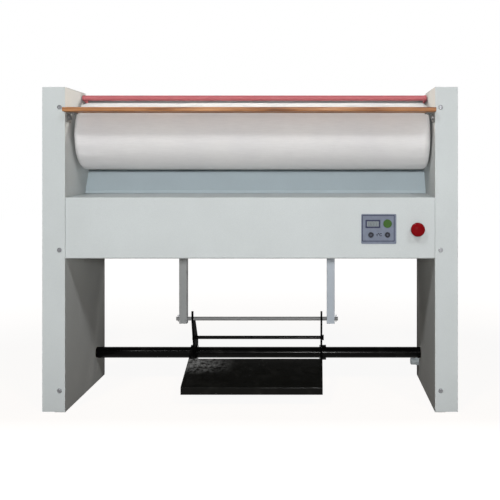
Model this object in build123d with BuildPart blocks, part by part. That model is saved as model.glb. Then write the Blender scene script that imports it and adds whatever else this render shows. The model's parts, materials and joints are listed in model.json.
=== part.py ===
from build123d import *

import math
import os

# Flatwork ironer: a padded roller turns in front of a heated shoe that hangs on a shaft behind it.
# Springs press the shoe on the roller, and a foot pedal takes the pressure off and opens it.
# Frame: X to the right, Y to the back, Z up, millimetres. The origin lies on the floor, in the
# middle of the width and of the whole depth. A depth below is measured from the columns' fronts.

# ---------------------------------------------------------------- clearances
flat_gap = 0.3          # between faces of separate pieces
running_gap = 0.05      # radial, a shaft that turns in its bore
seat_gap = 0.1          # radial, a shaft or boss that is fixed in its bore
bolt_gap = 0.3          # radial, a bolt in its hole
swing_room = 4.0        # left behind the open shoe

# ---------------------------------------------------------------- columns
machine_width = 1185.0
machine_height = 928.0
column_width = 65.0
side_depth = 420.0
side_top_depth = 200.0
slant_drop = 93.0       # of the start of the sides' slanted rear edge below the roller's axis
cover_sheet = 1.5
cover_bend = 1.2
cover_floor_gap = 2.0
frame_sheet = 2.5
frame_flange = 30.0
cover_screw_inset = 15.8
cover_screw_low = 62.0
cover_screw_rise = 25.0  # of the middle cover screw above the beam's bottom
cover_screw_drop = 58.0  # of the upper cover screw below the top of the machine
screw_radius = 2.5
screw_head_radius = 6.5
screw_head_height = 3.0
recess_width = 1.4
recess_length = 7.0
recess_floor = 1.0
anchor_hole_radius = 5.5
anchor_inset = 17.5
anchor_front_depth = 60.0
anchor_pitch = 300.0

# ---------------------------------------------------------------- beam and delivery chute
beam_sheet = 2.0
beam_depth = 3.0        # the beam's front lies this far behind the columns' fronts
beam_gap = 80.0         # between the roller's underside and the beam's top
beam_height = 175.0
beam_bend = 4.0         # outer radius of the bends along the beam's front
beam_top_rise = 6.0     # the top climbs by this towards the chute
beam_flange = 42.0
tray_depth = 197.7      # rear face of the tray
tray_front = 30.0
tray_end_front = 50.0
tray_end_height = 160.0
tray_wall_height = 172.0
beam_bolt_depth = 120.0
beam_bolt_rises = (41.0, 131.0)
bolt_radius = 4.0
bolt_head_width = 13.0
bolt_head_height = 5.3
bolt_nut_height = 6.5
chute_sheet = 1.5
chute_foot_drop = 43.0  # of the chute's foot below the beam's top
chute_fold_rise = 15.0
chute_top_rise = 73.0
chute_lip = 11.5
chute_lip_rise = 6.0
chute_bar_gap = 20.0    # between the chute's top edge and the press bars

# ---------------------------------------------------------------- rear cover
rear_sheet = 1.0
rear_inset = 3.0
rear_flange = 20.0
rear_screw_inset = 13.0
rear_bottom_drop = 38.0  # of the cover's lower edge below the beam
rear_top_drop = 14.0
rear_screw_rises = (30.0, 160.0, 360.0)
vent_length = 60.0
vent_width = 6.0
vent_columns = 6
vent_rows = 5
vent_pitch_x = 150.0
vent_pitch = 22.0
vent_drop = 128.0       # of the middle of the vents below the top of the machine

# ---------------------------------------------------------------- roller
roller_depth = 142.0
roller_drop = 135.0     # of the roller's axis below the top of the machine
roller_shift = 1.8      # of the roller's middle to the right, towards the drive
roller_radius = 100.0
roller_end_gap = 7.3    # between the roller's ends and the inner panels, before the shift
cloth_corner = 15.0
cloth_thickness = 1.8
cloth_hem_radius = 60.0
layer_gap = 0.2
felt_thickness = 9.8
felt_end = 13.8
felt_fold = 8.0
drum_wall = 4.0
drum_end_thickness = 12.0
journal_radius = 15.0
journal_shoulder_radius = 20.0
journal_shoulder_gap = 4.0
journal_left_reach = 25.0
journal_right_reach = 53.0
bearing_plate_width = 90.0
bearing_plate_thickness = 6.0
bearing_boss_radius = 31.0
bearing_width = 20.0
bearing_bolt_pitch = 66.0
bearing_nut_height = 3.0
bearing_hole_radius = 26.0

# ---------------------------------------------------------------- drive
drive_pulley_depth = 190.0
drive_pulley_drop = 233.0  # of the drive pulley's axis below the roller's
drive_pulley_radius = 25.0
roller_pulley_radius = 60.0
pulley_gap = 4.0        # between the gearbox and the belt's track
pulley_width = 16.0
pulley_rim = 2.0
pulley_rim_height = 4.6
belt_thickness = 3.5
drive_shaft_radius = 7.5
drive_shaft_seat = 18.0  # length of the shaft inside the gearbox
gearbox_width = 27.0
gearbox_depth = 80.0
gearbox_height = 90.0
gearbox_foot = 15.0
gearbox_corner = 6.0
motor_radius = 27.0
motor_length = 125.0
motor_gap = 2.5

# ---------------------------------------------------------------- shoe and press bars
shoe_plate = 6.0
shoe_end_gap = 6.0      # the shoe is this much shorter at each end than the roller
shoe_low_angle = -60.0
shoe_high_angle = 62.0
shoe_swing = 2.63       # degrees that the shoe opens
bar_size = 25.0
bar_wall = 2.0
bar_corner = 2.5
bar_x = 234.0
bar_below_rod = 14.0
bar_top_drop = 21.0     # of a press bar's top below the roller's axis
saddle_web = 2.9        # between the shoe plate's back and a press bar, at roller height
saddle_low_drop = 75.0
saddle_high_drop = 23.0
saddle_half_width = 20.0
pivot_drop = 73.0       # of the pivot shaft's axis below the beam's top
pivot_radius = 8.0
pivot_sleeve_radius = 11.0
pivot_sleeve_half = 20.0
pivot_bolt_radius = 5.0
pivot_bolt_reach = 25.0
pivot_bolt_room = 1.0   # left in front of the bolt's end
pivot_head_width = 17.0
pivot_head_height = 6.4
pivot_washer_radius = 12.0
pivot_washer = 1.5
element_radius = 4.0
element_angles = (52.0, 32.0, 12.0, -50.0)
element_end_gap = 15.0
shield_sheet = 1.0
shield_bar_gap = 5.5
shield_top_drop = 39.0
shield_shoulder_drop = 113.0
shield_below_saddle = 20.0
shield_chamfer = 14.0
shield_slot_gap = 2.0
shield_front_gap = 10.0
press_rod_height = 218.0
press_rod_radius = 6.0
press_rod_half = 257.0
cotter_radius = 1.5
cotter_half = 9.5
cotter_inset = 6.0

# ---------------------------------------------------------------- pedal
pedal_depth = 327.0
pedal_height = 96.2
pedal_tube_radius = 17.5
pedal_tube_wall = 3.2
bush_wall = 3.0
bush_flange_radius = 26.0
bush_flange = 3.0
bush_length = 12.0
lever_thickness = 6.0
pedal_width = 415.0
finger_rise = 25.0      # of the fingers' tips above the press rod's axis
finger_width = 6.7
lever_shoulder_drop = 7.0  # of the shoulder below the press rod's axis
lever_shoulder_depth = 295.0
lever_waist_height = 130.0
lever_waist_front = 281.0
lever_waist_back = 357.0
lever_heel_drop = 31.0
lever_heel_front = 27.0
lever_heel_back = 8.0
lever_front_depth = 61.0
lever_arm_height = 12.0  # of the arms that carry the pedal plate from below
lever_edge_gap = 1.5    # between the levers and the plate's back edge
lever_back_rise = 12.0
collar_radius = 24.0
collar_width = 12.0
collar_inner_width = 3.0
cross_rod_depth = 307.0
cross_rod_height = 149.0
cross_rod_radius = 5.5
cross_nut_width = 16.0
cross_nut_height = 4.5
plate_sheet = 3.0
plate_bend = 5.0        # outer radius of the bend above the lip
plate_back_depth = 198.0
plate_back_height = 106.2
plate_front_depth = 53.0
plate_front_height = 57.6
plate_lip_bottom = 35.2

# ---------------------------------------------------------------- springs inside the columns
spring_arm_length = 60.0
spring_arm_thickness = 6.0
spring_arm_eye = 12.0
spring_arm_gap = 2.0    # between the tube's bushes and the spring arms
tube_proud = 2.0        # the tube stands this far out of the spring arms
spring_pin_radius = 5.0
spring_pin_reach = 19.0
spring_offset = 14.0    # of the spring's middle beside the arm
spring_anchor_height = 300.0
spring_mean_radius = 9.0
spring_wire_radius = 1.25
spring_pitch = 6.0
plug_length = 20.0
plug_tail = 6.5
plug_seat_start = 8.0
plug_seat = 3.0
plug_seat_radius = 10.5

# ---------------------------------------------------------------- feed rail and guard bar
rail_overhang = 29.0    # the rail's front lies this far in front of the columns
rail_depth = 76.0       # the rail is a board that reaches back nearly to the roller
rail_thickness = 12.0
rail_drop = 65.5        # of the rail's middle below the top of the machine
rail_end_gap = 1.0
rail_corner = 2.5
bracket_sheet = 3.0
bracket_width = 24.0
bracket_height = 28.0
bracket_front = 10.0    # of the bracket behind the columns' fronts
bracket_length = 34.0
bracket_screw_inset = 9.0
rail_screw_radius = 2.0
rail_screw_head_radius = 4.0
rail_screw_head = 2.0
rail_screw_reach = 7.0
rail_hole_depth = 9.0
guard_depth = 165.0
guard_drop = 17.0
guard_radius = 8.0
guard_end_gap = 2.5
guard_pivot_depth = 192.0
guard_pivot_drop = 23.0
guard_arm_thickness = 4.0
guard_arm_gap = 4.5
guard_arm_radius = 9.0
guard_stub_radius = 4.0
guard_stub_reach = 11.0
guard_bush_radius = 7.0
guard_bush_flange = 2.0
guard_bush_flange_radius = 10.0
guard_bush_proud = 0.8
cam_width = 5.0
cam_drop = 8.0
cam_tip_radius = 4.0
switch_width = 15.0
switch_depth = 24.0
switch_height = 23.0
switch_plunger_radius = 2.0
switch_plunger_height = 3.0

# ---------------------------------------------------------------- controls
panel_inset = 160.5     # of the control panel's middle from the right inner panel
panel_rise = 85.0       # of the control panel's middle above the beam's bottom
panel_width = 100.0
panel_height = 85.0
panel_sheet = 1.5
panel_corner = 3.0
panel_hole_width = 90.0
panel_hole_height = 74.0
window_left = 16.8      # this and the next seven are measured from the control panel's middle
window_rise = 14.3
button_right = 25.0
start_button_rise = 15.0
button_row_drop = 17.0
small_button_left = 22.3
estop_right = 109.4
estop_drop = 0.6
window_width = 42.5
window_height = 23.5
window_sheet = 1.2
start_button_radius = 12.0
small_button_radius = 7.75
button_proud = 2.0
button_travel = 1.0
button_flange = 1.5
button_flange_height = 1.0
button_stem_radius = 3.0
board_depth = 9.0       # behind the control panel's back
board_sheet = 1.6
board_margin = 3.0
standoff_radius = 2.5
estop_hole_radius = 11.25
estop_collar_radius = 15.0
estop_collar_height = 4.0
estop_barrel_wall = 2.0
estop_stem_radius = 7.5
estop_head_radius = 20.0
estop_head_depth = 16.0
estop_head_start = 12.0
estop_head_corner = 6.0
estop_grip_depth = 8.0
estop_travel = 4.0
estop_stem_reach = 13.0  # of the plunger into the contact block
estop_pocket_room = 1.0
contact_block_size = 30.0
contact_block_depth = 40.0
contactor_x = 172.0
contactor_width = 45.0
contactor_depth = 60.0
contactor_height = 77.0
contactor_front = 60.0
gland_depth = 372.0
gland_height = 57.0
gland_width = 24.0
gland_hex = 10.0
gland_dome = 17.0
gland_dome_radius = 12.0
gland_dome_corner = 4.0
gland_thread_radius = 10.0
gland_thread_reach = 10.0
gland_bore_radius = 5.0
gland_nut_thickness = 6.0

# ---------------------------------------------------------------- derived places
front_y = (rail_overhang - side_depth) / 2
gap_half = machine_width / 2 - column_width
panel_out = gap_half + frame_sheet
frame_inset = cover_sheet + flat_gap
between_half = gap_half - flat_gap
roller_height = machine_height - roller_drop
beam_top = roller_height - roller_radius - beam_gap
beam_bottom = beam_top - beam_height
slant_start = roller_height - slant_drop
rear_bottom = beam_bottom - rear_bottom_drop
cover_screw_heights = (cover_screw_low, beam_bottom + cover_screw_rise, machine_height - cover_screw_drop)
rail_z = machine_height - rail_drop
guard_height = machine_height - guard_drop
guard_pivot_height = machine_height - guard_pivot_drop
roller_half_length = gap_half - roller_end_gap
shoe_half_length = roller_half_length - shoe_end_gap
shoe_inner = roller_radius + flat_gap
shoe_outer = shoe_inner + shoe_plate
shoe_back = shoe_outer + flat_gap
bar_depth = roller_depth + shoe_outer + saddle_web + bar_size / 2
pivot_height = beam_top - pivot_drop
saddle_low = roller_height - saddle_low_drop
drum_radius = roller_radius - cloth_thickness - felt_thickness - 2 * layer_gap
drum_half = roller_half_length - cloth_thickness - felt_end - 2 * layer_gap
cover_screw_x = gap_half + cover_screw_inset
anchor_x = gap_half + anchor_inset
lever_outer = pedal_width / 2
plate_slope = (plate_back_height - plate_front_height) / (plate_back_depth - plate_front_depth)
arm_x = panel_out + bush_length + spring_arm_gap
spring_x = arm_x + spring_arm_thickness + spring_offset
panel_x = gap_half - panel_inset
panel_z = beam_bottom + panel_rise
SIDES = ((-1, "left"), (1, "right"))
FOUR_CORNERS = ((-1, -1), (-1, 1), (1, -1), (1, 1))

os.makedirs("parts", exist_ok=True)


def save(builder, name):
    """Label a finished piece with its name and write it."""
    builder.part.label = name
    export_step(builder.part, f"parts/{name}.step")


def at(depth):
    """Y of a place that lies this far behind the columns' fronts."""
    return front_y + depth


def slant_depth(height, inset=0.0):
    """Depth of the sides' slanted rear edge at a height, moved inwards by inset."""
    run = side_depth - side_top_depth
    rise = machine_height - slant_start
    return side_depth - (height - slant_start) * run / rise - inset * math.hypot(run, rise) / rise


def side_sketch(x, inset, bottom=0.0):
    """The outline of a side at x, moved inwards by inset all round, but cut off at bottom."""
    with BuildSketch(Plane.YZ.offset(x)) as outline:
        with BuildLine():
            Polyline(
                (at(0), bottom - inset),
                (at(side_depth), bottom - inset),
                (at(side_depth), slant_start),
                (at(side_top_depth), machine_height),
                (at(0), machine_height),
                close=True,
            )
        make_face()
        if inset:
            offset(amount=-inset, kind=Kind.INTERSECTION)
    return outline


def side_face(x, inset, bottom=0.0):
    """The outline of a side as a face in its place."""
    return side_sketch(x, inset, bottom).sketch


def sheet_face(x, points, thickness, side, bend=0.0):
    """The section at x of a bent sheet, from points of (depth, height) along one of its faces."""
    places = [(at(depth), height) for depth, height in points]
    with BuildSketch(Plane.YZ.offset(x)) as face:
        with BuildLine():
            if bend:
                FilletPolyline(*places, radius=bend)
            else:
                Polyline(*places)
            offset(amount=thickness, side=side)
        make_face()
    return face.sketch


def polygon_face(x, points):
    """A flat polygon at x, from points of (depth, height)."""
    with BuildSketch(Plane.YZ.offset(x)) as face:
        with BuildLine():
            Polyline(*[(at(depth), height) for depth, height in points], close=True)
        make_face()
    return face.sketch


def hull_face(x, circles):
    """The hull at x of circles given as (depth, height, radius)."""
    with BuildSketch(Plane.YZ.offset(x)) as face:
        for depth, height, radius in circles:
            with Locations((at(depth), height)):
                Circle(radius)
        make_hull()
    return face.sketch


def rod_x(depth, height, radius, x_from, x_to, mode=Mode.ADD):
    """A round bar, or with Mode.SUBTRACT a hole, along X."""
    start = Location((min(x_from, x_to), at(depth), height), (0, 90, 0))
    with Locations(start):
        Cylinder(radius, abs(x_to - x_from), align=(Align.CENTER, Align.CENTER, Align.MIN), mode=mode)


def rod_y(x, height, radius, depth_from, depth_to, mode=Mode.ADD):
    """A round bar, or with Mode.SUBTRACT a hole, along Y."""
    start = Location((x, at(depth_from), height), (-90, 0, 0))
    with Locations(start):
        Cylinder(radius, depth_to - depth_from, align=(Align.CENTER, Align.CENTER, Align.MIN), mode=mode)


def rod_z(x, depth, radius, z_from, z_to, mode=Mode.ADD):
    """A round bar, or with Mode.SUBTRACT a hole, along Z."""
    with Locations((x, at(depth), z_from)):
        Cylinder(radius, z_to - z_from, align=(Align.CENTER, Align.CENTER, Align.MIN), mode=mode)


def block(x_from, x_to, depth_from, depth_to, z_from, z_to, mode=Mode.ADD):
    """A box between two corners."""
    middle = ((x_from + x_to) / 2, at((depth_from + depth_to) / 2), (z_from + z_to) / 2)
    with Locations(middle):
        Box(abs(x_to - x_from), depth_to - depth_from, z_to - z_from, mode=mode)


def hexagon_x(depth, height, across, x_from, x_to):
    """A hexagon head or nut along X."""
    with BuildSketch(Plane.YZ.offset(x_from)) as face:
        with Locations((at(depth), height)):
            RegularPolygon(across / 2, 6, major_radius=False)
    extrude(face.sketch, amount=x_to - x_from)


def bearing_bolt_places():
    """Depth and height of the four bolts of a roller bearing."""
    half = bearing_bolt_pitch / 2
    return [(roller_depth + i * half, roller_height + j * half) for i, j in FOUR_CORNERS]


def rear_screw_places():
    """Depth and height of the screws on the rear cover's flanges."""
    heights = [rear_bottom + rise for rise in rear_screw_rises]
    return [(min(side_depth - rear_screw_inset, slant_depth(z, rear_screw_inset)), z) for z in heights]


def shield_depth(height):
    """Depth of the shoe's shield below the slanted rear cover, with room to swing."""
    swing = (height - pivot_height) * math.tan(math.radians(shoe_swing))
    return slant_depth(height, rear_inset + rear_sheet) - swing - swing_room


def plate_top(depth, gap=0.0):
    """Height of the pedal plate's upper face at a depth, or of a line above it."""
    return plate_front_height + (depth - plate_front_depth) * plate_slope + gap


def plate_under(depth, gap):
    """Height at a depth of a line this far below the pedal plate's lower face."""
    return plate_top(depth) - plate_sheet * math.hypot(1, plate_slope) - gap


# ================================================================ columns
rail_bottom = rail_z - rail_thickness / 2
bracket_screw_height = rail_bottom - bracket_height / 2
bracket_screw_depths = (
    bracket_front + bracket_screw_inset,
    bracket_front + bracket_length - bracket_screw_inset,
)

for side, name in SIDES:
    # The inner panel with flanges folded outwards all round; the lower one stands on the floor.
    with BuildPart() as side_frame:
        extrude(side_face(side * gap_half, frame_inset), amount=side * frame_flange)
        extrude(
            side_face(side * panel_out, frame_inset + frame_sheet, frame_sheet),
            amount=side * frame_flange,
            mode=Mode.SUBTRACT,
        )
        panel_holes = [
            (roller_depth, roller_height, bearing_hole_radius),
            (bar_depth, pivot_height, pivot_radius + seat_gap),
            (pedal_depth, pedal_height, pedal_tube_radius + running_gap + bush_wall + seat_gap),
            (guard_pivot_depth, guard_pivot_height, guard_bush_radius + seat_gap),
            *[(depth, bracket_screw_height, screw_radius + bolt_gap) for depth in bracket_screw_depths],
        ]
        panel_holes += [(depth, height, bolt_radius + bolt_gap) for depth, height in bearing_bolt_places()]
        panel_holes += [(depth, height, screw_radius + bolt_gap) for depth, height in rear_screw_places()]
        for rise in beam_bolt_rises:
            panel_holes.append((beam_bolt_depth, beam_bottom + rise, bolt_radius + bolt_gap))
        if side > 0:
            panel_holes.append((gland_depth, gland_height, gland_thread_radius + seat_gap))
        for depth, height, radius in panel_holes:
            rod_x(depth, height, radius, side * gap_half, side * panel_out, Mode.SUBTRACT)
        for height in cover_screw_heights:
            rod_y(
                side * cover_screw_x,
                height,
                screw_radius + bolt_gap,
                0,
                frame_inset + 2 * frame_sheet,
                Mode.SUBTRACT,
            )
        for depth in (anchor_front_depth, anchor_front_depth + anchor_pitch):
            rod_z(side * anchor_x, depth, anchor_hole_radius, 0, frame_sheet, Mode.SUBTRACT)
    save(side_frame, f"side_frame_{name}")

    # The outer cover slips over the frame from outside and is open inwards and downwards.
    with BuildPart() as side_cover:
        extrude(side_face(side * gap_half, 0, cover_floor_gap), amount=side * column_width)
        outer_face = side_cover.faces().sort_by(Axis.X)[-1 if side > 0 else 0]
        fillet(outer_face.edges(), cover_bend)
        extrude(
            side_face(side * gap_half, cover_sheet, -cover_floor_gap),
            amount=side * (column_width - cover_sheet),
            mode=Mode.SUBTRACT,
        )
        for height in cover_screw_heights:
            rod_y(side * cover_screw_x, height, screw_radius + bolt_gap, 0, cover_sheet, Mode.SUBTRACT)
    save(side_cover, f"side_cover_{name}")

with BuildPart() as cover_screws:
    for side, name in SIDES:
        for height in cover_screw_heights:
            x = side * cover_screw_x
            rod_y(x, height, screw_head_radius, -screw_head_height, 0)
            rod_y(x, height, screw_radius, 0, frame_inset + 4 * frame_sheet)
    fillet(cover_screws.edges().filter_by(GeomType.CIRCLE).group_by(Axis.Y)[0], screw_head_height / 2)
    for side, name in SIDES:
        for height in cover_screw_heights:
            x = side * cover_screw_x
            for width, tall in ((recess_width, recess_length), (recess_length, recess_width)):
                block(
                    x - width / 2,
                    x + width / 2,
                    -screw_head_height,
                    -recess_floor,
                    height - tall / 2,
                    height + tall / 2,
                    Mode.SUBTRACT,
                )
save(cover_screws, "cover_screws")

# ================================================================ beam
chute_top_depth = bar_depth - bar_size / 2 - chute_bar_gap
chute_top = beam_top + chute_top_rise
estop_x = panel_x + estop_right
estop_z = panel_z - estop_drop

with BuildPart() as beam_front:
    beam_points = (
        (beam_depth + beam_flange, beam_bottom),
        (beam_depth, beam_bottom),
        (beam_depth, beam_top),
        (tray_depth - flat_gap, beam_top + beam_top_rise),
    )
    beam_face = sheet_face(-between_half, beam_points, beam_sheet, Side.RIGHT, beam_bend)
    extrude(beam_face, amount=2 * between_half)
    block(
        panel_x - panel_hole_width / 2,
        panel_x + panel_hole_width / 2,
        beam_depth,
        beam_depth + beam_sheet,
        panel_z - panel_hole_height / 2,
        panel_z + panel_hole_height / 2,
        Mode.SUBTRACT,
    )
    rod_y(estop_x, estop_z, estop_hole_radius, beam_depth, beam_depth + beam_sheet, Mode.SUBTRACT)
save(beam_front, "beam_front")

# The tray closes the beam below and behind, and its end plates are bolted to the inner panels.
with BuildPart() as beam_tray:
    tray_points = (
        (tray_front, beam_bottom + beam_sheet),
        (tray_depth, beam_bottom + beam_sheet),
        (tray_depth, beam_bottom + tray_wall_height),
    )
    extrude(sheet_face(-between_half, tray_points, beam_sheet, Side.LEFT), amount=2 * between_half)
    for side, name in SIDES:
        block(
            side * (between_half - beam_sheet),
            side * between_half,
            tray_end_front,
            tray_depth,
            beam_bottom + beam_sheet,
            beam_bottom + tray_end_height,
        )
        for rise in beam_bolt_rises:
            rod_x(
                beam_bolt_depth,
                beam_bottom + rise,
                bolt_radius + bolt_gap,
                side * (between_half - beam_sheet),
                side * between_half,
                Mode.SUBTRACT,
            )
save(beam_tray, "beam_tray")

with BuildPart() as beam_bolts:
    for side, name in SIDES:
        for rise in beam_bolt_rises:
            place = (beam_bolt_depth, beam_bottom + rise)
            nut_face = between_half - beam_sheet
            hexagon_x(*place, bolt_head_width, side * panel_out, side * (panel_out + bolt_head_height))
            rod_x(*place, bolt_radius, side * panel_out, side * (nut_face - bolt_nut_height))
            hexagon_x(*place, bolt_head_width, side * nut_face, side * (nut_face - bolt_nut_height))
save(beam_bolts, "beam_bolts")

# The chute carries the pressed linen from the shoe's lower edge down to the beam's top.
with BuildPart() as delivery_chute:
    chute_points = (
        (tray_depth, beam_top - chute_foot_drop),
        (tray_depth, beam_top + chute_fold_rise),
        (chute_top_depth, chute_top),
        (chute_top_depth + chute_lip, chute_top + chute_lip_rise),
    )
    extrude(sheet_face(-between_half, chute_points, chute_sheet, Side.RIGHT), amount=2 * between_half)
save(delivery_chute, "delivery_chute")

# ================================================================ rear cover
rear_top = machine_height - rear_top_drop
vent_height = machine_height - vent_drop


def rear_face(x, inset_from, inset_to):
    """The rear strip between two insets of the side outline, from the cover's bottom to its top."""
    with BuildSketch(Plane.YZ.offset(x)) as face:
        add(side_sketch(x, inset_from).sketch_local)
        add(side_sketch(x, inset_to).sketch_local, mode=Mode.SUBTRACT)
        with Locations((at((side_top_depth + side_depth) / 2), (rear_bottom + rear_top) / 2)):
            Rectangle(side_depth - side_top_depth, rear_top - rear_bottom, mode=Mode.INTERSECT)
    return face.sketch


slant_angle = math.degrees(math.atan2(side_depth - side_top_depth, machine_height - slant_start))
vent_plane = Plane(
    origin=(0, at(slant_depth(vent_height, rear_inset)), vent_height),
    x_dir=(1, 0, 0),
    z_dir=(0, math.cos(math.radians(slant_angle)), math.sin(math.radians(slant_angle))),
)

with BuildPart() as rear_cover:
    extrude(rear_face(-between_half, rear_inset, rear_inset + rear_sheet), amount=2 * between_half)
    for side, name in SIDES:
        flange_face = rear_face(side * between_half, rear_inset, rear_inset + rear_flange)
        extrude(flange_face, amount=-side * rear_sheet)
        for depth, height in rear_screw_places():
            rod_x(
                depth,
                height,
                screw_radius + bolt_gap,
                side * between_half,
                side * (between_half - rear_sheet),
                Mode.SUBTRACT,
            )
        rod_x(
            guard_pivot_depth,
            guard_pivot_height,
            guard_bush_flange_radius + bush_flange,
            side * between_half,
            side * (between_half - rear_sheet),
            Mode.SUBTRACT,
        )
    with BuildSketch(vent_plane):
        with GridLocations(vent_pitch_x, vent_pitch, vent_columns, vent_rows):
            SlotOverall(vent_length, vent_width)
    extrude(amount=-2 * rear_sheet, mode=Mode.SUBTRACT)
save(rear_cover, "rear_cover")

with BuildPart() as rear_cover_screws:
    for side, name in SIDES:
        for place in rear_screw_places():
            nut_face = between_half - rear_sheet
            rod_x(*place, screw_head_radius, side * panel_out, side * (panel_out + screw_head_height))
            rod_x(*place, screw_radius, side * panel_out, side * (nut_face - screw_head_height))
            rod_x(*place, 2 * screw_radius, side * nut_face, side * (nut_face - screw_head_height))
save(rear_cover_screws, "rear_cover_screws")

# ================================================================ feed rail
rail_half = gap_half - rail_end_gap
rail_screw_x = gap_half - (bracket_sheet + bracket_width) / 2
rail_screw_places = [(side * rail_screw_x, depth) for side, name in SIDES for depth in bracket_screw_depths]

with BuildPart() as feed_rail:
    block(
        -rail_half,
        rail_half,
        -rail_overhang,
        rail_depth - rail_overhang,
        rail_bottom,
        rail_bottom + rail_thickness,
    )
    fillet(feed_rail.edges().filter_by(Axis.X), rail_corner)
    for x, depth in rail_screw_places:
        hole_top = rail_bottom + rail_hole_depth
        rod_z(x, depth, rail_screw_radius + seat_gap, rail_bottom, hole_top, Mode.SUBTRACT)
save(feed_rail, "feed_rail")

# Angle brackets: one leg on the inner panel, the other under the rail.
with BuildPart() as rail_brackets:
    for side, name in SIDES:
        block(
            side * gap_half,
            side * (gap_half - bracket_sheet),
            bracket_front,
            bracket_front + bracket_length,
            rail_bottom - bracket_height,
            rail_bottom,
        )
        block(
            side * gap_half,
            side * (gap_half - bracket_width),
            bracket_front,
            bracket_front + bracket_length,
            rail_bottom - bracket_sheet,
            rail_bottom,
        )
        for depth in bracket_screw_depths:
            rod_x(
                depth,
                bracket_screw_height,
                screw_radius + bolt_gap,
                side * gap_half,
                side * (gap_half - bracket_sheet),
                Mode.SUBTRACT,
            )
    for x, depth in rail_screw_places:
        leg_bottom = rail_bottom - bracket_sheet
        rod_z(x, depth, rail_screw_radius + bolt_gap, leg_bottom, rail_bottom, Mode.SUBTRACT)
save(rail_brackets, "rail_brackets")

with BuildPart() as rail_screws:
    for side, name in SIDES:
        leg_face = gap_half - bracket_sheet
        for depth in bracket_screw_depths:
            place = (depth, bracket_screw_height)
            rod_x(*place, screw_head_radius, side * leg_face, side * (leg_face - screw_head_height))
            rod_x(*place, screw_radius, side * leg_face, side * (panel_out + screw_head_height))
    for x, depth in rail_screw_places:
        head_top = rail_bottom - bracket_sheet
        rod_z(x, depth, rail_screw_head_radius, head_top - rail_screw_head, head_top)
        rod_z(x, depth, rail_screw_radius, head_top, rail_bottom + rail_screw_reach)
save(rail_screws, "rail_screws")

# ================================================================ roller
roller_origin = (roller_shift, at(roller_depth), roller_height)
roller_plane = Plane(origin=roller_origin, x_dir=(1, 0, 0), z_dir=(0, -1, 0))
roller_axis = Axis(roller_origin, (1, 0, 0))


def turned_face(half_length, radius, corner):
    """Half the section of a turned body with rounded ends, above the roller's axis."""
    with BuildSketch(roller_plane) as face:
        Rectangle(2 * half_length, radius, align=(Align.CENTER, Align.MIN))
        if corner:
            fillet(face.vertices().group_by(Axis.Z)[-1], corner)
    return face.sketch


with BuildPart() as roller_drum:
    drum_face = turned_face(drum_half, drum_radius, 0)
    revolve(drum_face, axis=roller_axis)
    drum_bore = turned_face(drum_half, drum_radius - drum_wall, 0)
    revolve(drum_bore, axis=roller_axis, mode=Mode.SUBTRACT)
save(roller_drum, "roller_drum")

with BuildPart() as roller_ends:
    for side, name in SIDES:
        face_x = roller_shift + side * drum_half
        back_x = face_x - side * drum_end_thickness
        journal_x = journal_right_reach if side > 0 else journal_left_reach
        rod_x(roller_depth, roller_height, drum_radius - drum_wall - seat_gap, back_x, face_x)
        shoulder_x = side * (gap_half - journal_shoulder_gap)
        rod_x(roller_depth, roller_height, journal_shoulder_radius, back_x, shoulder_x)
        rod_x(roller_depth, roller_height, journal_radius, back_x, side * (panel_out + journal_x))
save(roller_ends, "roller_ends")

felt_outer = roller_radius - cloth_thickness - layer_gap
felt_half = roller_half_length - cloth_thickness - layer_gap

with BuildPart() as roller_padding:
    revolve(turned_face(felt_half, felt_outer, cloth_corner - cloth_thickness - layer_gap), axis=roller_axis)
    inside = turned_face(drum_half + layer_gap, drum_radius + layer_gap, 0)
    revolve(inside, axis=roller_axis, mode=Mode.SUBTRACT)
    fold = turned_face(felt_half, drum_radius - felt_fold, 0)
    revolve(fold, axis=roller_axis, mode=Mode.SUBTRACT)
save(roller_padding, "roller_padding")

with BuildPart() as roller_cover:
    revolve(turned_face(roller_half_length, roller_radius, cloth_corner), axis=roller_axis)
    inside = turned_face(
        roller_half_length - cloth_thickness,
        roller_radius - cloth_thickness,
        cloth_corner - cloth_thickness,
    )
    revolve(inside, axis=roller_axis, mode=Mode.SUBTRACT)
    hem = turned_face(roller_half_length, cloth_hem_radius, 0)
    revolve(hem, axis=roller_axis, mode=Mode.SUBTRACT)
save(roller_cover, "roller_cover")

with BuildPart() as roller_bearings:
    for side, name in SIDES:
        half = bearing_plate_width / 2
        block(
            side * panel_out,
            side * (panel_out + bearing_plate_thickness),
            roller_depth - half,
            roller_depth + half,
            roller_height - half,
            roller_height + half,
        )
        place = (roller_depth, roller_height)
        rod_x(*place, bearing_boss_radius, side * panel_out, side * (panel_out + bearing_width))
        bore = journal_radius + running_gap
        rod_x(*place, bore, side * panel_out, side * (panel_out + bearing_width), Mode.SUBTRACT)
        for place in bearing_bolt_places():
            outer = side * (panel_out + bearing_plate_thickness)
            rod_x(*place, bolt_radius + bolt_gap, side * panel_out, outer, Mode.SUBTRACT)
save(roller_bearings, "roller_bearings")

with BuildPart() as bearing_bolts:
    for side, name in SIDES:
        for place in bearing_bolt_places():
            head = panel_out + bearing_plate_thickness
            end = gap_half - bearing_nut_height
            hexagon_x(*place, bolt_head_width, side * head, side * (head + bolt_head_height))
            rod_x(*place, bolt_radius, side * head, side * end)
            hexagon_x(*place, bolt_head_width, side * gap_half, side * end)
save(bearing_bolts, "bearing_bolts")

# ================================================================ drive in the right column
gearbox_face = panel_out + gearbox_width
pulley_x = gearbox_face + pulley_gap
drive_pulley_height = roller_height - drive_pulley_drop
motor_x = panel_out + motor_radius + motor_gap
shaft_end = gearbox_face - drive_shaft_seat


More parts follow.
